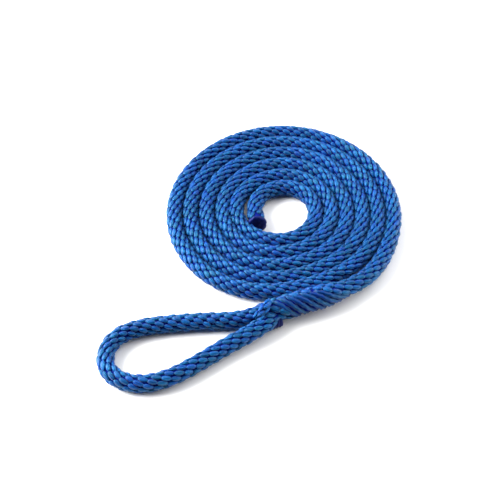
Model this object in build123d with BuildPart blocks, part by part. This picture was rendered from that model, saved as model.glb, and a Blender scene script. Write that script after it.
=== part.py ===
"""Coiled dock line: solid-braid rope laid in a flat spiral, with a spliced eye.

The line lies flat on the floor (Z = 0) with +Z up. The origin is under the middle of the
whole line's bounding box. Seen from above, the line starts at its bitter end in the middle of
the coil, runs clockwise and outwards, leaves the coil at the right, passes through the splice
at the front and ends as the eye at the front left. All sizes are in millimetres.
"""

import os
from math import pi, radians, tan

from build123d import *

# Rope and coil
ROPE_D = 9.5
ROPE_R = ROPE_D / 2
COIL_X = 13.8
COIL_Y = 27.4
PITCH = 10.0
START_RADIUS = 17.5
TOP_HALVES = 6
BOTTOM_HALVES = 5
WEB_HEIGHT = ROPE_R

# Eye splice: the standing part opens up and holds the tail
SPLICE_R = 7.1
TAIL_TIP_R = 1.6

# Small pieces
SEAL_R = 4.9
SEAL_THICKNESS = 1.4
THROAT_STRAND_R = 1.9
STUB_R = 2.5
STUB_LENGTH = 9.0
STUB_EDGE_R = 0.7 * STUB_R

# Share of the shorter run that the arc at a corner takes up on each side
CORNER_SHARE = 0.45

# Routes, from the coil's middle on the floor: x, y, z of each point
EYE_ROUTE = [
    (-4.0, -82.6, 7.4),
    (-10.0, -87.2, 6.9),
    (-19.5, -93.4, 5.6),
    (-33.0, -101.5, 4.75),
    (-47.5, -112.0, 4.75),
    (-62.5, -121.5, 4.75),
    (-77.0, -125.4, 4.75),
    (-90.5, -123.3, 4.75),
    (-99.3, -115.0, 4.75),
    (-100.6, -103.2, 4.75),
    (-94.5, -92.6, 4.75),
    (-81.0, -86.7, 4.75),
    (-63.0, -84.3, 4.75),
    (-45.0, -82.7, 4.75),
    (-31.0, -82.6, 4.75),
    (-20.0, -81.0, 4.9),
]
LEAD_ROUTE = [
    (44.0, -59.5, 6.8),
    (52.5, -54.0, 6.4),
    (61.0, -43.5, 5.6),
    (67.5, -30.5, 4.9),
    (71.4, -15.5, 4.75),
    (72.5, -6.5, 4.75),
    (72.5, 0.0, 4.75),
]
END_ROUTE = [
    (-17.5, 0.0, 4.75),
    (-17.2, -5.6, 4.8),
    (-14.0, -12.4, 5.1),
]

# Sections of the splice: centre and radius, from the eye to the lead-in
SLEEVE_SECTIONS = [
    ((-20.0, -81.0, 4.9), ROPE_R),
    ((-10.0, -77.9, 5.9), 5.3),
    ((-1.0, -75.6, 7.0), 6.5),
    ((8.0, -73.2, 7.3), SPLICE_R),
    ((24.0, -67.7, 7.3), SPLICE_R),
    ((34.0, -64.0, 7.1), 6.1),
    ((44.0, -59.5, 6.8), ROPE_R),
]
TAIL_SECTIONS = [
    ((-4.0, -82.6, 7.4), ROPE_R),
    ((4.0, -76.4, 7.4), 4.6),
    ((13.0, -71.6, 7.3), 4.1),
    ((24.0, -67.7, 7.3), 3.0),
    ((34.0, -64.0, 7.1), TAIL_TIP_R),
]
STUB_MIDDLE = (-1.0, -83.0, 2.7)
STUB_DIRECTION = (0.93, 0.36, 0.0)
THROAT_ROUTE = [
    (-10.5, -76.6, 12.4),
    (-12.6, -81.0, 11.4),
    (-14.2, -85.4, 9.6),
]


def in_frame(point):
    """Move a point from the coil's middle to the part's frame."""
    x, y, z = point
    return Vector(x + COIL_X, y + COIL_Y, z)


def corner_radii(points):
    """Arc radius at each inner corner: its share of the shorter run over tan(half the turn)."""
    radii = []
    for before, here, after in zip(points, points[1:], points[2:]):
        turn = (here - before).get_angle(after - here)
        run = min((here - before).length, (after - here).length)
        radii.append(CORNER_SHARE * run / tan(radians(turn) / 2))
    return radii


def line_length(builder):
    """Length of a finished path."""
    return sum(edge.length for edge in builder.edges())


def report_tube(name, points, wire_length, volume, radius):
    """Print the tube's arcs and compare its volume with section times length."""
    radii = corner_radii(points)
    print(name, "radii", [round(r, 1) for r in radii], "least", round(min(radii) / ROPE_D, 2), "d")
    section = pi * radius**2
    print(name, "length", round(wire_length, 1), "volume ratio", round(volume / (section * wire_length), 4))


def section_planes(sections, start_dir=None, end_dir=None):
    """A plane across the axis at each section, its normal along the mean of both runs."""
    centres = [in_frame(centre) for centre, _ in sections]
    planes = []
    for index, centre in enumerate(centres):
        before = centres[max(index - 1, 0)]
        after = centres[min(index + 1, len(centres) - 1)]
        normal = after - before
        if index == 0 and start_dir is not None:
            normal = start_dir
        if index == len(centres) - 1 and end_dir is not None:
            normal = end_dir
        planes.append(Plane(origin=centre, z_dir=normal))
    return planes


eye_points = [in_frame(p) for p in EYE_ROUTE]
lead_points = [in_frame(p) for p in LEAD_ROUTE]
end_points = [in_frame(p) for p in END_ROUTE]
throat_points = [in_frame(p) for p in THROAT_ROUTE]

# Eye loop: the uncoiled rope from the throat, round the eye and back to the splice
with BuildPart() as eye_loop:
    with BuildLine() as eye_line:
        FilletPolyline(*eye_points, radius=corner_radii(eye_points))
    with BuildSketch(Plane(origin=eye_line.line @ 0, z_dir=eye_line.line % 0)):
        Circle(ROPE_R)
    sweep()
eye_loop.part.label = "eye_loop"
report_tube("eye_loop", eye_points, line_length(eye_line), eye_loop.part.volume, ROPE_R)

# Buried tail: the rope's thinned end, drawn into the middle of the opened standing part
tail_start = eye_points[0] - eye_points[1]
with BuildPart() as buried_tail:
    for plane, (_, radius) in zip(section_planes(TAIL_SECTIONS, start_dir=tail_start), TAIL_SECTIONS):
        with BuildSketch(plane):
            Circle(radius)
    loft()
buried_tail.part.label = "buried_tail"

# Splice sleeve: the standing part's braid, opened and swollen round the tail
sleeve_start = eye_points[-1] - eye_points[-2]
sleeve_end = lead_points[1] - lead_points[0]
with BuildPart() as sleeve_outer:
    for plane, (_, radius) in zip(
        section_planes(SLEEVE_SECTIONS, sleeve_start, sleeve_end), SLEEVE_SECTIONS
    ):
        with BuildSketch(plane):
            Circle(radius)
    loft()
with BuildPart() as splice_sleeve:
    add(sleeve_outer.part)
    add(buried_tail.part, mode=Mode.SUBTRACT)
    add(eye_loop.part, mode=Mode.SUBTRACT)
splice_sleeve.part.label = "splice_sleeve"

# Lead-in: the standing part from the splice to the coil's outer turn
with BuildPart() as lead_in:
    with BuildLine() as lead_line:
        FilletPolyline(*lead_points, radius=corner_radii(lead_points))
    with BuildSketch(Plane(origin=lead_line.line @ 0, z_dir=lead_line.line % 0)):
        Circle(ROPE_R)
    sweep()
lead_in.part.label = "lead_in"
report_tube("lead_in", lead_points, line_length(lead_line), lead_in.part.volume, ROPE_R)

# Bitter end: the last straight bit of rope, left in the middle of the coil
with BuildPart() as bitter_end:
    with BuildLine() as end_line:
        FilletPolyline(*end_points, radius=corner_radii(end_points))
    with BuildSketch(Plane(origin=end_line.line @ 0, z_dir=end_line.line % 0)):
        Circle(ROPE_R)
    sweep()
bitter_end.part.label = "bitter_end"
report_tube("bitter_end", end_points, line_length(end_line), bitter_end.part.volume, ROPE_R)

# Sealed end: yarns melted together into a hard cap on the bitter end
with BuildPart() as sealed_end:
    with BuildSketch(Plane(origin=end_line.line @ 1, z_dir=end_line.line % 1)):
        Circle(SEAL_R)
    extrude(amount=SEAL_THICKNESS)
sealed_end.part.label = "sealed_end"


# Coil: half turns about two centres half a pitch apart, joined as one closed solid
def half_turns(first_radius, count, centre_x, far_side):
    """Revolve the ridged profile of `count` touching turns by half a turn."""
    centre = Vector(COIL_X + centre_x, COIL_Y, 0)
    start = Plane(origin=centre, x_dir=(far_side, 0, 0), z_dir=(0, -far_side, 0))
    last_radius = first_radius + PITCH * (count - 1)
    with BuildPart() as half:
        with BuildSketch(start):
            with Locations(*[(first_radius + PITCH * turn, ROPE_R) for turn in range(count)]):
                Circle(ROPE_R)
            with Locations(((first_radius + last_radius) / 2, WEB_HEIGHT / 2)):
                Rectangle(last_radius - first_radius, WEB_HEIGHT)
        revolve(axis=Axis(centre, (0, 0, 1)), revolution_arc=180)
    return half.part


with BuildPart() as coil:
    add(half_turns(START_RADIUS + PITCH / 4, TOP_HALVES, PITCH / 4, 1))
    add(half_turns(START_RADIUS + PITCH * 3 / 4, BOTTOM_HALVES, -PITCH / 4, -1))
    add(sleeve_outer.part, mode=Mode.SUBTRACT)
    add(bitter_end.part, mode=Mode.SUBTRACT)
    add(sealed_end.part, mode=Mode.SUBTRACT)
coil.part.label = "coil"

# Tail stub: strands of the tail that stand out under the front of the throat
with BuildPart() as tail_stub:
    stub_plane = Plane(origin=in_frame(STUB_MIDDLE), z_dir=STUB_DIRECTION)
    with BuildSketch(stub_plane):
        Circle(STUB_R)
    extrude(amount=STUB_LENGTH / 2, both=True)
    fillet(tail_stub.edges(), radius=STUB_EDGE_R)
    add(eye_loop.part, mode=Mode.SUBTRACT)
    add(buried_tail.part, mode=Mode.SUBTRACT)
    add(sleeve_outer.part, mode=Mode.SUBTRACT)
tail_stub.part.label = "tail_stub"

# Throat strand: the bundle that crosses from the splice over the eye's front leg
with BuildPart() as throat_strand:
    with BuildLine() as throat_line:
        FilletPolyline(*throat_points, radius=corner_radii(throat_points))
    with BuildSketch(Plane(origin=throat_line.line @ 0, z_dir=throat_line.line % 0)):
        Circle(THROAT_STRAND_R)
    sweep()
    add(eye_loop.part, mode=Mode.SUBTRACT)
    add(sleeve_outer.part, mode=Mode.SUBTRACT)
throat_strand.part.label = "throat_strand"

coil_length = sum(pi * (START_RADIUS + PITCH / 4 + PITCH * turn) for turn in range(TOP_HALVES))
coil_length += sum(pi * (START_RADIUS + PITCH * 3 / 4 + PITCH * turn) for turn in range(BOTTOM_HALVES))
splice_length = sum(
    (in_frame(b[0]) - in_frame(a[0])).length for a, b in zip(SLEEVE_SECTIONS, SLEEVE_SECTIONS[1:])
)
whole_length = (
    line_length(eye_line) + splice_length + line_length(lead_line) + coil_length + line_length(end_line)
)
print("coil length", round(coil_length), "splice", round(splice_length), "whole line", round(whole_length))

os.makedirs("parts", exist_ok=True)
export_step(coil.part, "parts/coil.step")
export_step(eye_loop.part, "parts/eye_loop.step")
export_step(lead_in.part, "parts/lead_in.step")
export_step(bitter_end.part, "parts/bitter_end.step")
export_step(sealed_end.part, "parts/sealed_end.step")
export_step(splice_sleeve.part, "parts/splice_sleeve.step")
export_step(buried_tail.part, "parts/buried_tail.step")
export_step(tail_stub.part, "parts/tail_stub.step")
export_step(throat_strand.part, "parts/throat_strand.step")
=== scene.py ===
"""Coiled dock line: solid-braid rope, spliced eye and melted end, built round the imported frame.

Everything is in metres, in the part's own frame: the line lies on Z = 0, the eye is at the front
left and the coil behind it. The rope follows one line, from the throat of the eye, round the eye,
through the splice and into the coil, to the bitter end in the coil's middle.
"""

import math
import random

import bpy
from bpy.props import FloatProperty, FloatVectorProperty, IntProperty, PointerProperty
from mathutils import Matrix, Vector


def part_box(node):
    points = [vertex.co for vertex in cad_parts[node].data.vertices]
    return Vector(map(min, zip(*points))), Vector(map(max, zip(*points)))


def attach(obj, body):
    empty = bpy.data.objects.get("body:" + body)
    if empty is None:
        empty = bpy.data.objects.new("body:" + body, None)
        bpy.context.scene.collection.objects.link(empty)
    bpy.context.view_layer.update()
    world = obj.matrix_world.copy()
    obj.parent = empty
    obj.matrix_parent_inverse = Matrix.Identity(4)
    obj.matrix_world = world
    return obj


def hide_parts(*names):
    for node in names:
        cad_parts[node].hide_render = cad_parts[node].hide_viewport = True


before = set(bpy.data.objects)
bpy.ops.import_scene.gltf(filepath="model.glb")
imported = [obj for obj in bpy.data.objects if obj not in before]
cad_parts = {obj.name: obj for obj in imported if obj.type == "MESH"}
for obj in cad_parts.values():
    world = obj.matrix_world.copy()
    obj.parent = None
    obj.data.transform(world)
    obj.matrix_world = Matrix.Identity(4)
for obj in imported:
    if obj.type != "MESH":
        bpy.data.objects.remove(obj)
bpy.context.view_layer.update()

bl_info = {
    "name": "Coiled dock line",
    "version": (1, 0, 0),
    "blender": (4, 5, 0),
    "location": "3D View > Sidebar > Dock line",
    "description": "Builds a solid-braid dock line in a flat coil, with a spliced eye",
    "category": "Add Mesh",
}

MM = 0.001
ROUTE = "dock_line_route"
STITCH = "braid_stitch"
STRAND = "splice_strand_shape"
BRAID = "Braid round a route"

# The line's route beside the coil, from the coil's middle on the floor, in millimetres
TAIL_START = (1.0, -78.6, 7.0)
EYE_ROUTE = [
    (-4.5, -82.6, 6.9),
    (-10.0, -87.2, 6.9),
    (-19.5, -93.4, 5.6),
    (-33.0, -101.5, 4.75),
    (-47.5, -112.0, 4.75),
    (-62.5, -121.5, 4.75),
    (-77.0, -125.4, 4.75),
    (-90.5, -123.3, 4.75),
    (-99.3, -115.0, 4.75),
    (-100.6, -103.2, 4.75),
    (-94.5, -92.6, 4.75),
    (-81.0, -86.7, 4.75),
    (-63.0, -84.3, 4.75),
    (-45.0, -82.7, 4.75),
    (-31.0, -82.6, 4.75),
    (-20.0, -81.0, 4.9),
]
SPLICE_ROUTE = [
    (-10.0, -77.9, 5.9),
    (-1.0, -75.6, 7.0),
    (8.0, -73.2, 7.3),
    (24.0, -67.7, 7.3),
    (34.0, -64.0, 7.1),
]
LEAD_ROUTE = [
    (43.6, -58.7, 6.8),
    (51.8, -53.2, 6.4),
    (60.1, -42.9, 5.6),
    (66.6, -30.2, 4.9),
    (71.0, -15.4, 4.75),
]
END_ROUTE = [
    (-15.4, -3.0, 5.0),
    (-14.8, -7.5, 5.8),
    (-14.3, -11.5, 6.6),
]

# Where the first long strand of the splice leaves the splice's upper edge
FIRST_STRAND = (-6.0, -76.7, 6.4)
# The strand that crosses the throat of the eye, and the stub of the tail under it
THROAT_ROUTE = [
    (-5.5, -74.6, 12.6),
    (-8.2, -78.4, 12.9),
    (-10.8, -81.4, 12.0),
    (-13.6, -85.6, 10.6),
]
STUB_MIDDLE = (-3.2, -83.6, 3.6)
STUB_DIRECTION = (0.93, 0.36, 0.0)

# The stitches' meshes, from tip to tip and round
STITCH_BANDS = 7
STITCH_SIDES = 8
# Half length of the bare patch that leaves every stitch where it is
NONE_BARE = -1.0

# The throat's bundle: its stitches against the rope's, how close they lie, how many columns there
# are, and how far from the route's ends the stitches stop
THROAT_STITCH_SIZE = 0.85
THROAT_CLOSENESS = 0.9
THROAT_COLUMNS = 6
THROAT_INSET = 0.5 * MM

# The tail's stub: its mesh, its twist, and how blunt its ends are
STUB_STEPS = 28
STUB_SIDES = 16
STUB_PLIES = 3
STUB_LAY = 6 * MM
STUB_RIDGE = 0.09
STUB_TIP = 0.05

# The sealed end's rings: millimetres ahead of the line's tip, and share of the flared radius
CAP_RINGS = [
    (-2.2, 0.90), (-1.4, 1.06), (-0.4, 1.10), (0.3, 1.04), (0.7, 0.86), (0.6, 0.62), (0.4, 0.36),
    (0.55, 0.15),
]
CAP_SIDES = 36
CAP_LUMP = 0.14

# How far the camera's frame is shifted sideways and up, as a share of its width
CAMERA_SHIFT = (-0.0597, -0.0659)
# Each disc light: where it stands, how wide it is, and its power in watts
LIGHTS = [
    ("back_light", (0.0, 0.35, 1.1), 1.5, 7.0),
    ("left_light", (-0.9, 0.2, 0.65), 0.8, 31.5),
    ("low_left_light", (-1.05, 0.1, 0.3), 0.6, 14.0),
    ("low_right_light", (1.05, 0.1, 0.3), 0.6, 12.0),
    ("back_left_light", (-0.7, 0.65, 0.6), 1.1, 8.0),
    ("back_right_light", (0.7, 0.65, 0.6), 1.1, 9.5),
]

# Steps of a spline from one control point to the next
SPLINE_STEPS = 8
# From turn to turn of the CAD's coil, which is made of half turns about two centres
CAD_PITCH = 10.0 * MM
# Turn that is pressed in by the whole of the coil's press, and the share of a turn over which
# the second turn stands clear of the bitter end
PRESSED_TURN = 5
CLEARANCE_SPREAD = 0.13
POINTS_PER_TURN = 24
# A second-order spline through points on a circle runs this much inside them
SPLINE_SHRINK = math.cos(math.pi / POINTS_PER_TURN)


def linear(hex_colour):
    """Turn an sRGB hex colour into the linear colour that Blender works in."""
    channels = [int(hex_colour[i : i + 2], 16) / 255 for i in (1, 3, 5)]
    return tuple(c / 12.92 if c <= 0.04045 else ((c + 0.055) / 1.055) ** 2.4 for c in channels)


def measure(name, description, metres):
    """A length that the user may change."""
    return FloatProperty(
        name=name, description=description, default=metres, unit="LENGTH", precision=4
    )


def slant(name, description, degrees):
    """An angle that the user may change, given in degrees."""
    return FloatProperty(
        name=name, description=description, default=math.radians(degrees), subtype="ANGLE"
    )


def tint(name, description, hex_colour):
    """A colour that the user may change, given as sRGB hex."""
    return FloatVectorProperty(
        name=name, description=description, size=3, subtype="COLOR", default=linear(hex_colour),
        min=0, max=1,
    )


class DockLineRope(bpy.types.PropertyGroup):
    """Sizes of the rope and its braid."""

    diameter: measure("Rope diameter", "Over the braid", 0.0095)
    core_share: FloatProperty(
        name="Core", description="Core's radius as a share of the rope's", default=0.84,
        subtype="FACTOR",
    )
    columns: IntProperty(name="Columns", description="Columns of stitches round the rope", default=12)
    stitch_pitch: measure("Stitch pitch", "From stitch to stitch along a column", 0.0076)
    column_shift: FloatProperty(
        name="Column shift", description="Step between neighbouring columns, in pitches",
        default=1 / 3, subtype="FACTOR",
    )
    stitch_length: measure("Stitch length", "Tip to tip", 0.0062)
    stitch_width: measure("Stitch width", "At its fattest", 0.0033)
    swell: measure("Braid swell", "How far the stitches' crowns stand off the nominal rope", 0.00062)
    end_flare: measure("End flare", "How far the bitter end spreads at its cut", 0.0009)
    flare_length: measure("Flare length", "Over which the bitter end spreads", 0.014)
    stitch_height: measure("Stitch height", "Through the yarn", 0.0022)
    lean: slant("Lean", "Slant of a stitch across the rope", 25)
    dive: slant("Dive", "How steeply a stitch tucks under the next", -3)


class DockLineCoil(bpy.types.PropertyGroup):
    """Shape of the flat coil."""

    turns: FloatProperty(
        name="Turns", description="Turns from the bitter end to the lead-in", default=5.5
    )
    pitch: measure("Pitch", "From turn to turn", 0.0101)
    start_radius: measure("Start radius", "Where the innermost turn starts", 0.0169)
    drift: FloatVectorProperty(
        name="Drift", description="How far the inner turns' middle stands off", size=2,
        default=(0.0010, 0.00145), unit="LENGTH",
    )
    clearance: measure("Clearance", "How far the second turn stands off the bitter end", 0.0019)
    press: measure("Press", "How far the splice presses the outer turn in", 0.0055)
    press_angle: slant("Press direction", "Where the splice presses, from the left, clockwise", 251)
    press_spread: slant("Press spread", "Width of the pressed stretch", 31.5)


class DockLineSplice(bpy.types.PropertyGroup):
    """Sizes of the eye splice."""

    radius: measure("Splice radius", "Over the opened braid", 0.0071)
    strands: IntProperty(name="Strands", description="Long strands across the front", default=7)
    strand_spacing: measure("Strand spacing", "Along the splice", 0.0048)
    strand_length: measure("Strand length", "Tip to tip, before the braid swells", 0.0245)
    strand_width: measure("Strand width", "Before the braid swells", 0.0022)
    strand_height: measure("Strand height", "Through one strand", 0.0030)
    strand_lean: slant("Strand lean", "Slant across the splice, before the braid swells", 34)
    strand_column: FloatProperty(
        name="Strand column", description="Column that the strands' middles lie on", default=1.3
    )
    first_bare: FloatProperty(
        name="First bare column", description="First column that the strands lie over", default=-2.2
    )
    last_bare: FloatProperty(
        name="Last bare column", description="Last column that the strands lie over", default=3.6
    )
    strand_fan: slant("Strand fan", "Change of slant from strand to strand", -2.6)
    tail_taper: measure("Tail taper", "How much the tail is thinned where it goes in", 0.0022)
    tail_length: measure("Tail taper length", "Over which the tail is thinned", 0.011)
    throat_radius: measure("Throat radius", "Of the bundle that crosses the throat", 0.0031)
    stub_radius: measure("Stub radius", "Of the cut tail under the throat", 0.0032)
    stub_length: measure("Stub length", "Of the cut tail", 0.0100)


class DockLineColours(bpy.types.PropertyGroup):
    """Colours of the yarn, the melted end and the floor."""

    yarn: tint("Yarn", "Blue polypropylene yarn", "#00287c")
    # The yarn painted darker, as painted shade in the holes between the stitches where the core shows
    yarn_painted_shade: tint("Deep yarn", "Yarn between the stitches", "#00146c")
    melted: tint("Melted end", "Yarn fused by heat", "#060d3a")
    floor: tint("Floor", "Pale studio floor", "#f6f6f6")


class DockLineStage(bpy.types.PropertyGroup):
    """Camera and studio sizes."""

    distance: FloatProperty(
        name="Camera distance", description="From the coil's middle", default=0.665, unit="LENGTH"
    )
    elevation: slant("Camera elevation", "Above the floor", 50.86)
    lens: FloatProperty(name="Lens", description="Focal length in millimetres", default=74.47)
    floor_size: FloatProperty(name="Floor", description="Side of the floor", default=6.0, unit="LENGTH")


def coil_centre():
    """The coil's middle on the floor, a quarter pitch off the middle of its CAD solid."""
    low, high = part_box("coil")
    quarter = CAD_PITCH / 4
    return Vector(((low[0] + high[0]) / 2 - quarter, (low[1] + high[1]) / 2 - quarter, 0))


def coil_point(settings, rope, turn):
    """A point of the flat spiral, `turn` turns out from the bitter end."""
    angle = 2 * math.pi * turn
    inner = 1 - turn / settings.turns
    off = (angle % (2 * math.pi) - settings.press_angle) / settings.press_spread
    press = settings.press * math.exp(-off * off) * (turn / PRESSED_TURN) ** 2
    radius = (settings.start_radius + settings.pitch * turn - press) / SPLINE_SHRINK
    radius += settings.clearance * math.exp(-((turn - 1) / CLEARANCE_SPREAD) ** 2)
    x = -radius * math.cos(angle) + settings.drift[0] * inner
    y = radius * math.sin(angle) + settings.drift[1] * inner
    return Vector((x, y, rope.diameter / 2))


def route_points(scene):
    """The control points of the whole line, from the throat of the eye to the bitter end."""
    centre = coil_centre()
    laid = [Vector(p) * MM for p in [TAIL_START] + EYE_ROUTE + SPLICE_ROUTE + LEAD_ROUTE]
    steps = round(scene.dock_line_coil.turns * POINTS_PER_TURN)
    for step in range(steps, -1, -1):
        laid.append(coil_point(scene.dock_line_coil, scene.dock_line_rope, step / POINTS_PER_TURN))
    laid += [Vector(p) * MM for p in END_ROUTE]
    return [centre + p for p in laid]


def line_of(route):
    """The points along the route's own spline."""
    depsgraph = bpy.context.evaluated_depsgraph_get()
    mesh = bpy.data.meshes.new_from_object(route.evaluated_get(depsgraph))
    points = [v.co.copy() for v in mesh.vertices]
    bpy.data.meshes.remove(mesh)
    return points


def distance_along(points, place):
    """How far along the line its nearest point to `place` is."""
    run = 0.0
    best = (1e9, 0.0)
    for before, here in zip(points, points[1:]):
        best = min(best, ((before - place).length, run))
        run += (here - before).length
    return min(best, ((points[-1] - place).length, run))[1]


def line_length(points):
    """Length of a line of points."""
    return sum((b - a).length for a, b in zip(points, points[1:]))


def add_node(tree, kind, inputs=None, **settings):
    """Add a node, give it its settings, and set or link its inputs by name or number.

    An input given as a node is linked to that node's first output.
    """
    made = tree.nodes.new(kind)
    for name, value in settings.items():
        setattr(made, name, value)
    for key, value in (inputs or {}).items():
        if isinstance(value, bpy.types.Node):
            value = value.outputs[0]
        if isinstance(value, bpy.types.NodeSocket):
            tree.links.new(value, made.inputs[key])
        else:
            made.inputs[key].default_value = value
    return made


def new_piece(name, mesh, material=None):
    """Link a mesh to the scene as a piece at the origin."""
    piece = bpy.data.objects.new(name, mesh)
    bpy.context.scene.collection.objects.link(piece)
    if material is not None:
        mesh.materials.clear()
        mesh.materials.append(material)
    return piece


def grow(tree, name, values):
    """Run a node tree with the given inputs, and return the plain mesh piece it makes."""
    empty = bpy.data.meshes.new(name + "_carrier")
    carrier = new_piece(name + "_carrier", empty)
    modifier = carrier.modifiers.new(name, "NODES")
    modifier.node_group = tree
    sockets = {item.name: item.identifier for item in tree.interface.items_tree}
    for key, value in values.items():
        modifier[sockets[key]] = value
    depsgraph = bpy.context.evaluated_depsgraph_get()
    mesh = bpy.data.meshes.new_from_object(carrier.evaluated_get(depsgraph))
    bpy.data.objects.remove(carrier)
    bpy.data.meshes.remove(empty)
    mesh.name = name
    return new_piece(name, mesh)


def smooth_mesh(name, verts, faces):
    """A mesh with smooth shading."""
    mesh = bpy.data.meshes.new(name)
    mesh.from_pydata([tuple(v) for v in verts], [], faces)
    mesh.polygons.foreach_set("use_smooth", [True] * len(mesh.polygons))
    mesh.update()
    return mesh


def ring_faces(rings, sides):
    """Faces of a closed tube of rings of vertices, with a flat face at each end."""
    faces = [tuple(range(sides))]
    for a in range(0, (rings - 1) * sides, sides):
        for step in range(sides):
            after = (step + 1) % sides
            faces.append((a + step, a + sides + step, a + sides + after, a + after))
    faces.append(tuple((rings - 1) * sides + step for step in reversed(range(sides))))
    return faces


def spindle(
    name, length, width, height, bands, sides, point=2.2, fat_end=0.0, plies=0, ply_depth=0.0, lay=1.0
):
    """A closed spindle of yarn along X, fattest towards +X by `fat_end`, with its own UV map.

    The lower `point` is, the more it is a lozenge; the higher, the more it is a rod.
    With `plies`, the yarn's twist stands out as helical ridges, one turn in each `lay`.
    """
    verts = [(-length / 2, 0.0, 0.0)]
    for band in range(1, bands):
        share = band / bands
        x = -math.cos(math.pi * share) * length / 2
        along = x / (length / 2)
        breadth = (1 - abs(along) ** point) ** 0.55 * (1 + fat_end * along)
        depth = (1 - abs(along) ** 3.0) ** 0.5
        for side in range(sides):
            turn = 2 * math.pi * side / sides
            ridge = 1 + ply_depth * math.cos(plies * (turn - 2 * math.pi * x / lay)) if plies else 1
            y = math.cos(turn) * width / 2 * breadth * ridge
            z = math.sin(turn) * height / 2 * depth * ridge
            verts.append((x, y, z))
    verts.append((length / 2, 0.0, 0.0))
    last = len(verts) - 1
    faces = []
    for side in range(sides):
        after = (side + 1) % sides
        faces.append((0, 1 + after, 1 + side))
        tip = 1 + (bands - 2) * sides
        faces.append((last, tip + side, tip + after))
        for band in range(bands - 2):
            a = 1 + band * sides
            faces.append((a + side, a + after, a + sides + after, a + sides + side))
    mesh = smooth_mesh(name, verts, faces)
    uv = mesh.uv_layers.new(name="yarn")
    for loop in mesh.loops:
        x, y, z = mesh.vertices[loop.vertex_index].co
        around = math.atan2(z, y) / (2 * math.pi) * math.pi * width
        uv.data[loop.index].uv = (x / MM, around / MM)
    return mesh


# The braid tree's inputs by kind, each with what it is when it isn't given
BRAID_INPUTS = {
    "NodeSocketObject": {"Route": None, "Stitch": None},
    "NodeSocketMaterial": {"Yarn": None},
    "NodeSocketFloat": {
        "Rope radius": 0.00475,
        "Seat": 0.0038,
        "First column": 0.0,
        "Start": 0.0,
        "Stitch pitch": 0.0075,
        "Column shift": 0.3333,
        "Lean": 0.42,
        "Dive": 0.12,
        "Unevenness": 0.06,
        "Swell": 0.0,
        "Swell start": 0.0,
        "Swell full": 0.01,
        "Swell falls": 0.02,
        "Swell end": 0.03,
        "Taper": 0.0,
        "Taper length": 0.01,
        "Flare": 0.0,
        "Flare start": 9.0,
        "Flare end": 10.0,
        "Fan": 0.0,
        "Laid from": -1.0,
        "Laid to": 10.0,
        "Bare middle": 0.0,
        "Bare half": 0.0,
        "Bare slant": 0.0,
        "Bare column": 0.0,
        "First bare column": 0.0,
        "Last bare column": 0.0,
    },
    "NodeSocketInt": {
        "Columns round": 12,
        "Columns laid": 12,
        "Rows": 10,
        "Seed": 1,
    },
}


def swell_nodes(tree, given, along):
    """How far the splice's swelling lifts the surface at a distance along the route."""
    slopes = [
        (given["Swell start"], given["Swell full"], 0.0, 1.0),
        (given["Swell falls"], given["Swell end"], 1.0, 0.0),
        (0.0, given["Taper length"], given["Taper"], 0.0),
        (given["Flare start"], given["Flare end"], 0.0, given["Flare"]),
    ]
    rise, fall, taper, flare = [
        add_node(
            tree, "ShaderNodeMapRange",
            {"Value": along, "From Min": low, "From Max": high, "To Min": start, "To Max": end},
            interpolation_type="SMOOTHSTEP",
        )
        for low, high, start, end in slopes
    ]
    both = add_node(tree, "ShaderNodeMath", {0: rise, 1: fall}, operation="MULTIPLY")
    ends = add_node(tree, "ShaderNodeMath", {0: taper, 1: flare}, operation="ADD")
    return add_node(
        tree, "ShaderNodeMath", {0: both, 1: given["Swell"], 2: ends}, operation="MULTIPLY_ADD"
    )


def left_out_nodes(tree, given, along, column):
    """Which stitches to leave out: those past the ends, and those under the splice's strands."""
    early = add_node(tree, "ShaderNodeMath", {0: along, 1: given["Laid from"]}, operation="LESS_THAN")
    late = add_node(tree, "ShaderNodeMath", {0: along, 1: given["Laid to"]}, operation="GREATER_THAN")
    past_ends = add_node(tree, "ShaderNodeMath", {0: early, 1: late}, operation="ADD")
    # Columns are counted from the side, -3 at the bottom, 3 at the top
    side = add_node(tree, "ShaderNodeMath", {0: column, 1: 9.0, 2: -3.0}, operation="WRAP")
    above = add_node(
        tree, "ShaderNodeMath", {0: side, 1: given["First bare column"]}, operation="GREATER_THAN"
    )
    below = add_node(
        tree, "ShaderNodeMath", {0: side, 1: given["Last bare column"]}, operation="LESS_THAN"
    )
    facing = add_node(tree, "ShaderNodeMath", {0: above, 1: below}, operation="MULTIPLY")
    off_column = add_node(
        tree, "ShaderNodeMath", {0: side, 1: given["Bare column"]}, operation="SUBTRACT"
    )
    slanted = add_node(
        tree, "ShaderNodeMath", {0: off_column, 1: given["Bare slant"], 2: along},
        operation="MULTIPLY_ADD",
    )
    off_middle = add_node(
        tree, "ShaderNodeMath", {0: slanted, 1: given["Bare middle"]}, operation="SUBTRACT"
    )
    reach = add_node(tree, "ShaderNodeMath", {0: off_middle}, operation="ABSOLUTE")
    near = add_node(tree, "ShaderNodeMath", {0: reach, 1: given["Bare half"]}, operation="LESS_THAN")
    under = add_node(tree, "ShaderNodeMath", {0: facing, 1: near}, operation="MULTIPLY")
    return add_node(tree, "ShaderNodeMath", {0: past_ends, 1: under}, operation="ADD")


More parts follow.
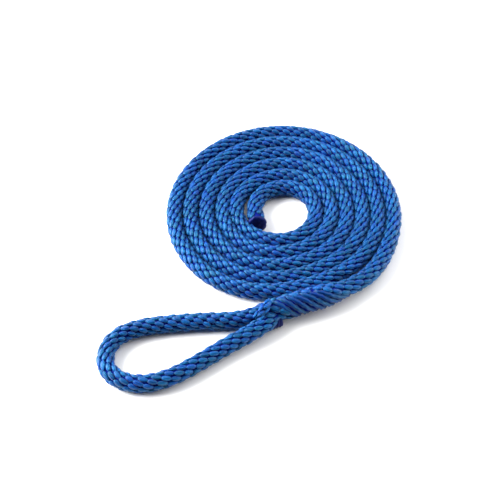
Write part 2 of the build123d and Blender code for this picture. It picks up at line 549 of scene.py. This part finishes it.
def braid_tree():
    """Node tree: stitches laid out flat in slanting columns, then wrapped round the route."""
    tree = bpy.data.node_groups.new(BRAID, "GeometryNodeTree")
    tree.interface.new_socket("Geometry", in_out="INPUT", socket_type="NodeSocketGeometry")
    for kind, inputs in BRAID_INPUTS.items():
        for name, default in inputs.items():
            socket = tree.interface.new_socket(name, in_out="INPUT", socket_type=kind)
            if default is not None:
                socket.default_value = default
    tree.interface.new_socket("Geometry", in_out="OUTPUT", socket_type="NodeSocketGeometry")
    given = tree.nodes.new("NodeGroupInput").outputs

    # Flat layout: X runs along the rope, Y round it, Z out of it
    count = add_node(
        tree, "ShaderNodeMath", {0: given["Rows"], 1: given["Columns laid"]}, operation="MULTIPLY"
    )
    dots = add_node(tree, "GeometryNodeMeshLine", {"Count": count})
    index = add_node(tree, "GeometryNodeInputIndex")
    split = add_node(tree, "ShaderNodeMath", {0: index, 1: given["Columns laid"]}, operation="DIVIDE")
    row = add_node(tree, "ShaderNodeMath", {0: split}, operation="FLOOR")
    laid = add_node(tree, "ShaderNodeMath", {0: index, 1: given["Columns laid"]}, operation="MODULO")
    column = add_node(tree, "ShaderNodeMath", {0: laid, 1: given["First column"]}, operation="ADD")
    stepped = add_node(
        tree, "ShaderNodeMath", {0: column, 1: given["Column shift"], 2: row}, operation="MULTIPLY_ADD"
    )
    step_wrap = add_node(
        tree, "ShaderNodeMath", {0: stepped, 1: given["Stitch pitch"], 2: given["Start"]},
        operation="MULTIPLY_ADD",
    )
    girth = add_node(
        tree, "ShaderNodeMath", {0: given["Rope radius"], 1: 2 * math.pi}, operation="MULTIPLY"
    )
    column_width = add_node(
        tree, "ShaderNodeMath", {0: girth, 1: given["Columns round"]}, operation="DIVIDE"
    )
    across = add_node(tree, "ShaderNodeMath", {0: column, 1: column_width}, operation="MULTIPLY")
    place = add_node(tree, "ShaderNodeCombineXYZ", {"X": step_wrap, "Y": across, "Z": given["Seat"]})
    set_out = add_node(tree, "GeometryNodeSetPosition", {"Geometry": dots, "Position": place})
    shade = add_node(tree, "FunctionNodeRandomValue", {"Seed": given["Seed"]}, data_type="FLOAT")
    marked = add_node(
        tree, "GeometryNodeStoreNamedAttribute",
        {"Geometry": set_out, "Name": "shade", "Value": shade.outputs[1]},
        data_type="FLOAT", domain="POINT",
    )

    kept = add_node(
        tree, "GeometryNodeDeleteGeometry",
        {"Geometry": marked, "Selection": left_out_nodes(tree, given, step_wrap, column)},
        domain="POINT",
    )

    # Each stitch leans, dives and differs a little
    size_seed = add_node(tree, "ShaderNodeMath", {0: given["Seed"], 1: 7.0}, operation="ADD")
    uneven = []
    for seed in (given["Seed"], size_seed):
        jitter = add_node(
            tree, "FunctionNodeRandomValue",
            {"Min": (-1.0, -1.0, -1.0), "Max": (1.0, 1.0, 1.0), "Seed": seed},
            data_type="FLOAT_VECTOR",
        )
        uneven.append(add_node(
            tree, "ShaderNodeVectorMath", {0: jitter, "Scale": given["Unevenness"]},
            operation="SCALE",
        ))
    lean_back = add_node(
        tree, "ShaderNodeMath", {0: row, 1: given["Fan"], 2: given["Lean"]}, operation="MULTIPLY_ADD"
    )
    lean_back = add_node(tree, "ShaderNodeMath", {0: lean_back, 1: -1.0}, operation="MULTIPLY")
    base_turn = add_node(tree, "ShaderNodeCombineXYZ", {"Y": given["Dive"], "Z": lean_back})
    turned = add_node(tree, "ShaderNodeVectorMath", {0: base_turn, 1: uneven[0]}, operation="ADD")
    sized = add_node(tree, "ShaderNodeVectorMath", {0: uneven[1], 1: (1.0, 1.0, 1.0)}, operation="ADD")
    shape = add_node(tree, "GeometryNodeObjectInfo", {"Object": given["Stitch"]})
    placed = add_node(
        tree, "GeometryNodeInstanceOnPoints",
        {"Points": kept, "Instance": shape.outputs["Geometry"], "Rotation": turned,
         "Scale": sized},
    )
    flat = add_node(tree, "GeometryNodeRealizeInstances", {"Geometry": placed})

    # Wrapping: distance along the route, angle round it, distance out from it
    here = add_node(tree, "GeometryNodeInputPosition")
    parts = add_node(tree, "ShaderNodeSeparateXYZ", {0: here}).outputs
    line = add_node(tree, "GeometryNodeObjectInfo", {"Object": given["Route"]}).outputs["Geometry"]
    upright = add_node(tree, "GeometryNodeSetCurveNormal", {"Curve": line}, mode="Z_UP")
    sample = add_node(
        tree, "GeometryNodeSampleCurve", {"Curves": upright, "Length": parts["X"]}, mode="LENGTH"
    ).outputs
    angle = add_node(
        tree, "ShaderNodeMath", {0: parts["Y"], 1: given["Rope radius"]}, operation="DIVIDE"
    )
    lift = swell_nodes(tree, given, parts["X"])
    out = add_node(tree, "ShaderNodeMath", {0: parts["Z"], 1: lift}, operation="ADD")
    sideways = add_node(tree, "ShaderNodeMath", {0: angle}, operation="COSINE")
    upwards = add_node(tree, "ShaderNodeMath", {0: angle}, operation="SINE")
    up_line = add_node(
        tree, "ShaderNodeVectorMath", {0: sample["Normal"], 1: sample["Tangent"]},
        operation="CROSS_PRODUCT",
    )
    side_part = add_node(
        tree, "ShaderNodeVectorMath", {0: sample["Normal"], "Scale": sideways}, operation="SCALE"
    )
    up_part = add_node(tree, "ShaderNodeVectorMath", {0: up_line, "Scale": upwards}, operation="SCALE")
    outwards = add_node(tree, "ShaderNodeVectorMath", {0: side_part, 1: up_part}, operation="ADD")
    offset = add_node(tree, "ShaderNodeVectorMath", {0: outwards, "Scale": out}, operation="SCALE")
    wrapped = add_node(
        tree, "ShaderNodeVectorMath", {0: sample["Position"], 1: offset}, operation="ADD"
    )
    laid_on = add_node(tree, "GeometryNodeSetPosition", {"Geometry": flat, "Position": wrapped})
    coloured = add_node(
        tree, "GeometryNodeSetMaterial", {"Geometry": laid_on, "Material": given["Yarn"]}
    )
    add_node(tree, "NodeGroupOutput", {0: coloured})
    return tree


def new_material(name):
    """A material with no nodes yet, and its tree."""
    material = bpy.data.materials.new(name)
    material.use_nodes = True
    material.node_tree.nodes.clear()
    return material, material.node_tree


def set_ends(ramp, first, last):
    """Set a colour ramp's two ends, each a place and a colour."""
    for end, (place, colour) in zip(ramp.color_ramp.elements, (first, last)):
        end.position = place
        end.color = (*[min(1, c) for c in colour], 1)


def yarn_material(name, scene, lift=1.0, gloss=0.95):
    """Multifilament polypropylene yarn, loose and unwaxed: a satin blue whose fine filaments run along
    each stitch, painted lighter on the raised filaments and plies and darker in their grooves, partly
    real streaks and partly painted shade, with a tone that differs at random from stitch to stitch."""
    material, tree = new_material(name)
    uv = add_node(tree, "ShaderNodeUVMap", uv_map="yarn")
    # Filaments are drawn half a millimetre apart, coarser than real ones, so that they show
    stretch = add_node(
        tree, "ShaderNodeMapping", {"Vector": uv, "Rotation": (0, 0, 0.25), "Scale": (0.3, 1.9, 1.0)}
    )
    filaments = add_node(
        tree, "ShaderNodeTexNoise", {"Vector": stretch, "Scale": 1.0, "Detail": 3.0, "Roughness": 0.6}
    )
    # The plies in each stitch lie about 1.2 mm apart
    plies = add_node(
        tree, "ShaderNodeTexWave", {"Vector": uv, "Scale": 0.26, "Distortion": 1.2, "Detail": 1.0},
        bands_direction="Y",
    ).outputs["Fac"]
    relief = add_node(
        tree, "ShaderNodeMath", {0: plies, 1: 0.3, 2: filaments}, operation="MULTIPLY_ADD"
    )
    # The tone follows the same relief as the bump: raised filaments and plies painted lighter, grooves
    # painted darker, partly real streaks and partly painted shade; the random shade value varies each
    # stitch's tone at random
    shade = add_node(tree, "ShaderNodeAttribute", attribute_name="shade").outputs["Fac"]
    mixed = add_node(tree, "ShaderNodeMath", {0: relief, 1: 0.9, 2: -0.33}, operation="MULTIPLY_ADD")
    tone = add_node(tree, "ShaderNodeMath", {0: shade, 1: 0.45, 2: mixed}, operation="MULTIPLY_ADD")
    ramp = add_node(tree, "ShaderNodeValToRGB", {"Fac": tone})
    yarn = scene.dock_line_colours.yarn
    # lift paints the whole yarn lighter or darker: above 1 as painted light, below 1 as painted shade
    set_ends(ramp, (0.15, [c * 0.6 * lift for c in yarn]), (0.75, [c * 1.4 * lift for c in yarn]))
    scatter = add_node(
        tree, "ShaderNodeTexWhiteNoise", {"W": shade}, noise_dimensions="1D"
    ).outputs["Value"]
    hue = add_node(tree, "ShaderNodeMapRange", {"Value": scatter, "To Min": 0.486, "To Max": 0.512})
    tinted = add_node(tree, "ShaderNodeHueSaturation", {"Hue": hue, "Color": ramp})
    bump = add_node(tree, "ShaderNodeBump", {"Height": relief, "Strength": 0.9, "Distance": 0.0008})
    surface = add_node(
        tree, "ShaderNodeBsdfPrincipled",
        {"Base Color": tinted, "Normal": bump, "Roughness": 0.46, "IOR": 1.49,
         "Specular IOR Level": gloss, "Specular Tint": (0.02, 0.76, 0.97, 1.0),
         "Coat Weight": 0.15, "Coat Roughness": 0.3,
         "Sheen Weight": 0.05, "Sheen Roughness": 0.4},
    )
    add_node(tree, "ShaderNodeOutputMaterial", {"Surface": surface})
    return material


def core_material(scene):
    """The same yarn deep between the stitches, matt, and painted darker as painted shade there."""
    material, tree = new_material("polypropylene_core_yarn")
    place = add_node(tree, "ShaderNodeTexCoord").outputs["Object"]
    grain = add_node(tree, "ShaderNodeTexNoise", {"Vector": place, "Scale": 900.0, "Detail": 2.0})
    # Painted shade: the core is coloured darker than the yarn, so the holes between the stitches look
    # shaded
    deep = scene.dock_line_colours.yarn_painted_shade
    ramp = add_node(tree, "ShaderNodeValToRGB", {"Fac": grain})
    set_ends(ramp, (0.0, [c * 0.6 for c in deep]), (1.0, [c * 1.2 for c in deep]))
    surface = add_node(
        tree, "ShaderNodeBsdfPrincipled",
        {"Base Color": ramp, "Roughness": 1.0, "Specular IOR Level": 0.1},
    )
    add_node(tree, "ShaderNodeOutputMaterial", {"Surface": surface})
    return material


def melted_material(scene):
    """Polypropylene yarn fused by a hot knife: dark, hard and slightly glossy, with drawn ripples."""
    material, tree = new_material("melted_polypropylene")
    place = add_node(tree, "ShaderNodeTexCoord").outputs["Object"]
    ripples = add_node(
        tree, "ShaderNodeTexNoise",
        {"Vector": place, "Scale": 450.0, "Detail": 4.0, "Distortion": 1.5},
    )
    dark = scene.dock_line_colours.melted
    ramp = add_node(tree, "ShaderNodeValToRGB", {"Fac": ripples})
    set_ends(ramp, (0.35, dark), (0.75, [c * 3 for c in dark]))
    bump = add_node(tree, "ShaderNodeBump", {"Height": ripples, "Strength": 0.6, "Distance": 0.0005})
    surface = add_node(
        tree, "ShaderNodeBsdfPrincipled",
        {"Base Color": ramp, "Normal": bump, "Roughness": 0.45,
         "Specular IOR Level": 0.3, "Specular Tint": (0.3, 0.4, 1.0, 1.0)},
    )
    add_node(tree, "ShaderNodeOutputMaterial", {"Surface": surface})
    return material


def material_named(name, scene):
    """The material of that name, made the first time it is asked for."""
    made = bpy.data.materials.get(name)
    if made is not None:
        return made
    if name == "polypropylene_yarn":
        return yarn_material(name, scene)
    # The throat bundle's yarn is the same yarn painted lighter, as painted light on the raised bundle
    if name == "loose_polypropylene_yarn_painted_light":
        return yarn_material(name, scene, lift=1.5)
    # The splice strands' yarn is the same yarn painted darker, as painted shade on the splice's front,
    # and less glossy
    if name == "worked_polypropylene_yarn_painted_shade":
        return yarn_material(name, scene, lift=0.55, gloss=0.5)
    if name == "polypropylene_core_yarn":
        return core_material(scene)
    return melted_material(scene)


def swell_inputs(scene, line):
    """Where along the line the splice swells and falls back, for the node trees."""
    centre = coil_centre()
    places = (EYE_ROUTE[-1], SPLICE_ROUTE[2], SPLICE_ROUTE[3], LEAD_ROUTE[0])
    start, full, falls, end = [distance_along(line, centre + Vector(p) * MM) for p in places]
    return {
        "Swell": scene.dock_line_splice.radius - scene.dock_line_rope.diameter / 2,
        "Swell start": start,
        "Swell full": full,
        "Swell falls": falls,
        "Swell end": end,
        "Taper": -scene.dock_line_splice.tail_taper,
        "Taper length": scene.dock_line_splice.tail_length,
        "Flare": scene.dock_line_rope.end_flare,
        "Flare start": line_length(line) - scene.dock_line_rope.flare_length,
        "Flare end": line_length(line),
    }


class DOCKLINE_OT_camera(bpy.types.Operator):
    """Set the camera up in front of the coil, looking down at it"""

    bl_idname = "dockline.camera"
    bl_label = "Camera"

    def execute(self, context):
        stage = context.scene.dock_line_stage
        data = bpy.data.cameras.new("studio_camera")
        camera = bpy.data.objects.new("studio_camera", data)
        context.scene.collection.objects.link(camera)
        back = Vector((0, -math.cos(stage.elevation), math.sin(stage.elevation)))
        camera.location = coil_centre() + stage.distance * back
        camera.rotation_euler = (math.pi / 2 - stage.elevation, 0, 0)
        data.sensor_width = 36
        data.lens = stage.lens
        data.shift_x, data.shift_y = CAMERA_SHIFT
        data.clip_start = 0.01
        context.scene.camera = camera
        return {"FINISHED"}


class DOCKLINE_OT_route(bpy.types.Operator):
    """Lay the line's own route as one smooth spline"""

    bl_idname = "dockline.route"
    bl_label = "Route"

    def execute(self, context):
        laid_curve(ROUTE, route_points(context.scene))
        return {"FINISHED"}


class DOCKLINE_OT_core(bpy.types.Operator):
    bl_idname = "dockline.core"
    bl_label = "Rope core"

    def execute(self, context):
        scene = context.scene
        rope = scene.dock_line_rope
        line = line_of(bpy.data.objects[ROUTE])
        swell = swell_inputs(scene, line)
        core = tube("rope_core", line, lambda along: core_radius(rope, swell, along), 20)
        core.data.materials.append(material_named("polypropylene_core_yarn", scene))
        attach(core, "root")
        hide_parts("coil", "lead_in", "eye_loop", "bitter_end", "buried_tail", "splice_sleeve")
        return {"FINISHED"}


def smoothstep(low, high, value):
    """0 below low, 1 above high, smooth between."""
    share = min(1.0, max(0.0, (value - low) / (high - low)))
    return share * share * (3 - 2 * share)


def core_radius(rope, swell, along):
    """Radius of the core at a distance along the line: fatter in the splice."""
    rise = smoothstep(swell["Swell start"], swell["Swell full"], along)
    fall = 1 - smoothstep(swell["Swell falls"], swell["Swell end"], along)
    ends = swell["Taper"] * (1 - smoothstep(0, swell["Taper length"], along))
    ends += swell["Flare"] * smoothstep(swell["Flare start"], swell["Flare end"], along)
    return rope.diameter / 2 * rope.core_share + swell["Swell"] * rise * fall + ends


def tube(name, line, radius_at, sides):
    """A closed tube along a line of points, with flat ends, as a plain mesh piece."""
    verts = []
    run = 0.0
    for index, here in enumerate(line):
        before = line[max(index - 1, 0)]
        after = line[min(index + 1, len(line) - 1)]
        run += (here - before).length
        ahead = (after - before).normalized()
        side = Vector((ahead.y, -ahead.x, 0)).normalized()
        up = side.cross(ahead)
        for step in range(sides):
            turn = 2 * math.pi * step / sides
            verts.append(here + radius_at(run) * (side * math.cos(turn) + up * math.sin(turn)))
    return new_piece(name, smooth_mesh(name, verts, ring_faces(len(line), sides)))


def braid_inputs(scene, route, line):
    """The node inputs that every stretch of the braid shares."""
    rope = scene.dock_line_rope
    splice = scene.dock_line_splice
    run = splice.strand_length / 2 * math.cos(splice.strand_lean)
    first = distance_along(line, coil_centre() + Vector(FIRST_STRAND) * MM) + run
    span = splice.strand_spacing * (splice.strands - 1)
    column_width = math.pi * rope.diameter / rope.columns
    return {
        "Route": route,
        "Yarn": material_named("polypropylene_yarn", scene),
        "Rope radius": rope.diameter / 2,
        "Seat": rope.diameter / 2 + rope.swell - rope.stitch_height / 2,
        "Columns round": rope.columns,
        "Columns laid": rope.columns,
        "Stitch pitch": rope.stitch_pitch,
        "Column shift": rope.column_shift,
        "Lean": rope.lean,
        "Dive": rope.dive,
        "Laid from": rope.stitch_length / 2,
        "Laid to": line_length(line) - rope.stitch_length / 2,
        "Bare middle": first + span / 2,
        "Bare half": span / 2 + splice.strand_spacing / 2,
        "Bare slant": column_width / math.tan(splice.strand_lean),
        "Bare column": splice.strand_column,
        "First bare column": splice.first_bare,
        "Last bare column": splice.last_bare,
        **swell_inputs(scene, line),
    }


class DOCKLINE_OT_braid(bpy.types.Operator):
    """Lay the braid's stitches along the eye, the splice and the coil"""

    bl_idname = "dockline.braid"
    bl_label = "Braid"

    def execute(self, context):
        scene = context.scene
        rope = scene.dock_line_rope
        route = bpy.data.objects[ROUTE]
        line = line_of(route)
        shared = braid_inputs(scene, route, line)
        shape = spindle(
            STITCH, rope.stitch_length, rope.stitch_width, rope.stitch_height,
            bands=STITCH_BANDS, sides=STITCH_SIDES, fat_end=0.1,
        )
        shared["Stitch"] = new_piece(STITCH, shape)
        tree = braid_tree()
        pitch = rope.stitch_pitch
        first = -math.ceil(rope.columns * rope.column_shift)
        last = math.ceil(shared["Laid to"] / pitch)
        eye_end = int(shared["Swell start"] / pitch)
        splice_end = int(shared["Swell falls"] / pitch)
        middle = (splice_end + last) // 2
        stretches = {
            "eye_braid": (first, eye_end),
            "splice_braid": (eye_end, splice_end),
            "outer_coil_braid": (splice_end, middle),
            "inner_coil_braid": (middle, last),
        }
        for seed, (name, (start, end)) in enumerate(stretches.items(), 1):
            stretch = {"Rows": end - start, "Start": start * pitch, "Seed": seed}
            piece = grow(tree, name, {**shared, **stretch})
            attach(piece, "root")
        bpy.data.objects.remove(shared["Stitch"])
        return {"FINISHED"}


class DOCKLINE_OT_splice(bpy.types.Operator):
    """Lay the splice's long slanting strands over its front"""

    bl_idname = "dockline.splice"
    bl_label = "Splice strands"

    def execute(self, context):
        scene = context.scene
        rope = scene.dock_line_rope
        splice = scene.dock_line_splice
        route = bpy.data.objects[ROUTE]
        line = line_of(route)
        shared = braid_inputs(scene, route, line)
        shape = spindle(
            STRAND, splice.strand_length, splice.strand_width, splice.strand_height,
            bands=28, sides=12, point=6.0, plies=2, ply_depth=0.2, lay=8 * MM,
        )
        strand = new_piece(STRAND, shape)
        span = splice.strand_spacing * (splice.strands - 1)
        values = {
            **shared,
            "Stitch": strand,
            # The strands' yarn is painted darker, as painted shade
            "Yarn": material_named("worked_polypropylene_yarn_painted_shade", scene),
            "Seat": rope.diameter / 2 + rope.swell - splice.strand_height / 2,
            "Columns laid": 1,
            "First column": splice.strand_column,
            "Column shift": 0.0,
            "Rows": splice.strands,
            "Start": shared["Bare middle"] - span / 2,
            "Stitch pitch": splice.strand_spacing,
            "Lean": splice.strand_lean - splice.strand_fan * (splice.strands - 1) / 2,
            "Fan": splice.strand_fan,
            "Dive": 0.0,
            "Unevenness": 0.03,
            "Bare half": NONE_BARE,
            "Seed": 11,
        }
        piece = grow(bpy.data.node_groups[BRAID], "splice_strands", values)
        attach(piece, "root")
        bpy.data.objects.remove(strand)
        return {"FINISHED"}


def stub_mesh(points, radius):
    """The tail's cut stub: a short twisted rod along a few points, rounded at its ends."""
    verts = []
    run = 0.0
    before = points[0]
    for step in range(STUB_STEPS + 1):
        share = step / STUB_STEPS
        here, ahead = smooth_point(points, share)
        run += (here - before).length
        before = here
        side = ahead.cross(Vector((0, 0, 1))).normalized()
        up = side.cross(ahead)
        fullness = max(STUB_TIP, 1 - abs(2 * share - 1) ** 6) ** 0.5
        for turn_step in range(STUB_SIDES):
            turn = 2 * math.pi * turn_step / STUB_SIDES
            twist = turn - 2 * math.pi * run / STUB_LAY
            reach = radius * fullness * (1 + STUB_RIDGE * math.cos(STUB_PLIES * twist))
            verts.append(here + reach * (side * math.cos(turn) + up * math.sin(turn)))
    return smooth_mesh("tail_stub_yarns", verts, ring_faces(STUB_STEPS + 1, STUB_SIDES))


def smooth_point(points, share):
    """A point and its direction on a smooth line through a few points."""
    spans = len(points) - 1
    place = min(share * spans, spans - 1e-6)
    index = int(place)
    t = place - index
    p0 = points[max(index - 1, 0)]
    p1 = points[index]
    p2 = points[index + 1]
    p3 = points[min(index + 2, spans)]
    here = 0.5 * ((2 * p1) + (p2 - p0) * t + (2 * p0 - 5 * p1 + 4 * p2 - p3) * t * t
                  + (3 * p1 - p0 - 3 * p2 + p3) * t ** 3)
    ahead = ((p2 - p0) + 2 * (2 * p0 - 5 * p1 + 4 * p2 - p3) * t
             + 3 * (3 * p1 - p0 - 3 * p2 + p3) * t * t)
    return here, ahead.normalized()


def laid_curve(name, points):
    """A curve object with one smooth spline through the given control points."""
    curve = bpy.data.curves.new(name, "CURVE")
    curve.dimensions = "3D"
    curve.resolution_u = SPLINE_STEPS
    spline = curve.splines.new("NURBS")
    spline.points.add(len(points) - 1)
    for held, point in zip(spline.points, points):
        held.co = (*point, 1)
    spline.order_u = 3
    spline.use_endpoint_u = True
    laid = bpy.data.objects.new(name, curve)
    bpy.context.scene.collection.objects.link(laid)
    return laid


class DOCKLINE_OT_throat(bpy.types.Operator):
    """Cross the throat of the eye with a bundle of strands, and lay the tail's stub under it"""

    bl_idname = "dockline.throat"
    bl_label = "Throat"

    def execute(self, context):
        scene = context.scene
        rope = scene.dock_line_rope
        splice = scene.dock_line_splice
        centre = coil_centre()
        # The bundle's yarn is painted lighter, as painted light on the raised bundle
        yarn = material_named("loose_polypropylene_yarn_painted_light", scene)

        # A small braided bundle over the throat
        crossing = laid_curve("throat_route", [centre + Vector(p) * MM for p in THROAT_ROUTE])
        line = line_of(crossing)
        share = splice.throat_radius / (rope.diameter / 2)
        size = THROAT_STITCH_SIZE
        shape = spindle(
            STITCH, rope.stitch_length * size, rope.stitch_width * size, rope.stitch_height * size,
            bands=STITCH_BANDS, sides=STITCH_SIDES,
        )
        stitch = new_piece(STITCH, shape)
        length = line_length(line)
        pitch = rope.stitch_pitch * size * THROAT_CLOSENESS
        values = {
            "Route": crossing, "Stitch": stitch, "Yarn": yarn,
            "Rope radius": splice.throat_radius,
            "Seat": splice.throat_radius - rope.stitch_height * size / 2,
            "Columns round": THROAT_COLUMNS, "Columns laid": THROAT_COLUMNS,
            "Column shift": 1 / 3, "Stitch pitch": pitch, "Start": -2 * pitch,
            "Rows": math.ceil(length / pitch) + 2, "Laid from": THROAT_INSET,
            "Laid to": length - THROAT_INSET, "Lean": rope.lean * share ** 0.2, "Dive": 0.0,
            "Unevenness": 0.16, "Bare half": NONE_BARE, "Seed": 21,
        }
        bundle = grow(bpy.data.node_groups[BRAID], "throat_bundle", values)
        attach(bundle, "root")
        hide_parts("throat_strand")
        bpy.data.objects.remove(stitch)
        bpy.data.objects.remove(crossing)

        # The tail's stub, sealed by heat
        out = Vector(STUB_DIRECTION).normalized()
        stub_middle = centre + Vector(STUB_MIDDLE) * MM
        half = out * splice.stub_length / 2
        rod = stub_mesh([stub_middle - half, stub_middle, stub_middle + half], splice.stub_radius)
        stub = new_piece("tail_stub_yarns", rod, material_named("melted_polypropylene", scene))
        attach(stub, "root")
        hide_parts("tail_stub")
        return {"FINISHED"}


class DOCKLINE_OT_sealed_end(bpy.types.Operator):
    """Cap the bitter end with a lumpy disc of yarn fused by heat"""

    bl_idname = "dockline.sealed_end"
    bl_label = "Sealed end"

    def execute(self, context):
        scene = context.scene
        rope = scene.dock_line_rope
        line = line_of(bpy.data.objects[ROUTE])
        tip = line[-1]
        ahead = (line[-1] - line[-3]).normalized()
        side = ahead.cross(Vector((0, 0, 1))).normalized()
        up = side.cross(ahead)
        lumps = random.Random(5)
        verts = []
        for depth, share in CAP_RINGS:
            for step in range(CAP_SIDES):
                turn = 2 * math.pi * step / CAP_SIDES
                wave = 1 + 0.035 * math.sin(5 * turn + 1) + 0.02 * math.sin(11 * turn)
                reach = (rope.diameter / 2 + rope.end_flare) * share * wave
                sink = (depth + lumps.uniform(-CAP_LUMP, CAP_LUMP)) * MM
                verts.append(tip + ahead * sink + reach * (side * math.cos(turn) + up * math.sin(turn)))
        mesh = smooth_mesh("sealed_face", verts, ring_faces(len(CAP_RINGS), CAP_SIDES))
        cap = new_piece("sealed_face", mesh, material_named("melted_polypropylene", scene))
        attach(cap, "root")
        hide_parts("sealed_end")
        return {"FINISHED"}


class DOCKLINE_OT_stage(bpy.types.Operator):
    """Lay the pale floor and set the soft studio lights"""

    bl_idname = "dockline.stage"
    bl_label = "Stage"

    def execute(self, context):
        scene = context.scene
        stage = scene.dock_line_stage
        half = stage.floor_size / 2
        mesh = bpy.data.meshes.new("studio_floor")
        mesh.from_pydata([(-half, -half, 0), (half, -half, 0), (half, half, 0), (-half, half, 0)], [],
                         [(0, 1, 2, 3)])
        floor = new_piece("studio_floor", mesh)
        material = bpy.data.materials.new("studio_floor_paint")
        material.use_nodes = True
        shader = material.node_tree.nodes["Principled BSDF"]
        shader.inputs["Base Color"].default_value = (*scene.dock_line_colours.floor, 1)
        shader.inputs["Roughness"].default_value = 0.9
        mesh.materials.append(material)
        for name, place, size, power in LIGHTS:
            data = bpy.data.lights.new(name, "AREA")
            data.shape = "DISK"
            data.size = size
            data.energy = power
            lamp = bpy.data.objects.new(name, data)
            scene.collection.objects.link(lamp)
            lamp.location = place
            lamp.rotation_euler = (-Vector(place)).to_track_quat("-Z", "Y").to_euler()
        world = bpy.data.worlds.new("studio_world")
        world.use_nodes = True
        background = world.node_tree.nodes["Background"]
        background.inputs["Color"].default_value = (1, 1, 1, 1)
        background.inputs["Strength"].default_value = 0.04
        scene.world = world
        scene.view_settings.view_transform = "Standard"
        return {"FINISHED"}


class DOCKLINE_PT_panel(bpy.types.Panel):
    """Lists the line's makers and sizes"""

    bl_idname = "DOCKLINE_PT_panel"
    bl_label = "Dock line"
    bl_space_type = "VIEW_3D"
    bl_region_type = "UI"
    bl_category = "Dock line"

    def draw(self, context):
        layout = self.layout
        for maker in MAKERS:
            layout.operator(maker.bl_idname)
        for name in SETTINGS:
            box = layout.box()
            group = getattr(context.scene, name)
            for key in group.bl_rna.properties.keys():
                if key not in ("rna_type", "name"):
                    box.prop(group, key)


MAKERS = [
    DOCKLINE_OT_camera,
    DOCKLINE_OT_route,
    DOCKLINE_OT_core,
    DOCKLINE_OT_braid,
    DOCKLINE_OT_splice,
    DOCKLINE_OT_throat,
    DOCKLINE_OT_sealed_end,
    DOCKLINE_OT_stage,
]
SETTINGS = {
    "dock_line_rope": DockLineRope,
    "dock_line_coil": DockLineCoil,
    "dock_line_splice": DockLineSplice,
    "dock_line_colours": DockLineColours,
    "dock_line_stage": DockLineStage,
}


def register():
    """Register the sizes, the makers and the panel."""
    for name, group in SETTINGS.items():
        bpy.utils.register_class(group)
        setattr(bpy.types.Scene, name, PointerProperty(type=group))
    for maker in MAKERS:
        bpy.utils.register_class(maker)
    bpy.utils.register_class(DOCKLINE_PT_panel)


def unregister():
    """Undo register."""
    bpy.utils.unregister_class(DOCKLINE_PT_panel)
    for maker in reversed(MAKERS):
        bpy.utils.unregister_class(maker)
    for name, group in SETTINGS.items():
        delattr(bpy.types.Scene, name)
        bpy.utils.unregister_class(group)


def main():
    """Build the line from the route outwards."""
    register()
    bpy.ops.dockline.camera()
    bpy.ops.dockline.route()
    bpy.ops.dockline.core()
    bpy.ops.dockline.braid()
    bpy.ops.dockline.splice()
    bpy.ops.dockline.throat()
    bpy.ops.dockline.sealed_end()
    bpy.ops.dockline.stage()
    bpy.data.objects.remove(bpy.data.objects[ROUTE])


if __name__ == "__main__":
    main()
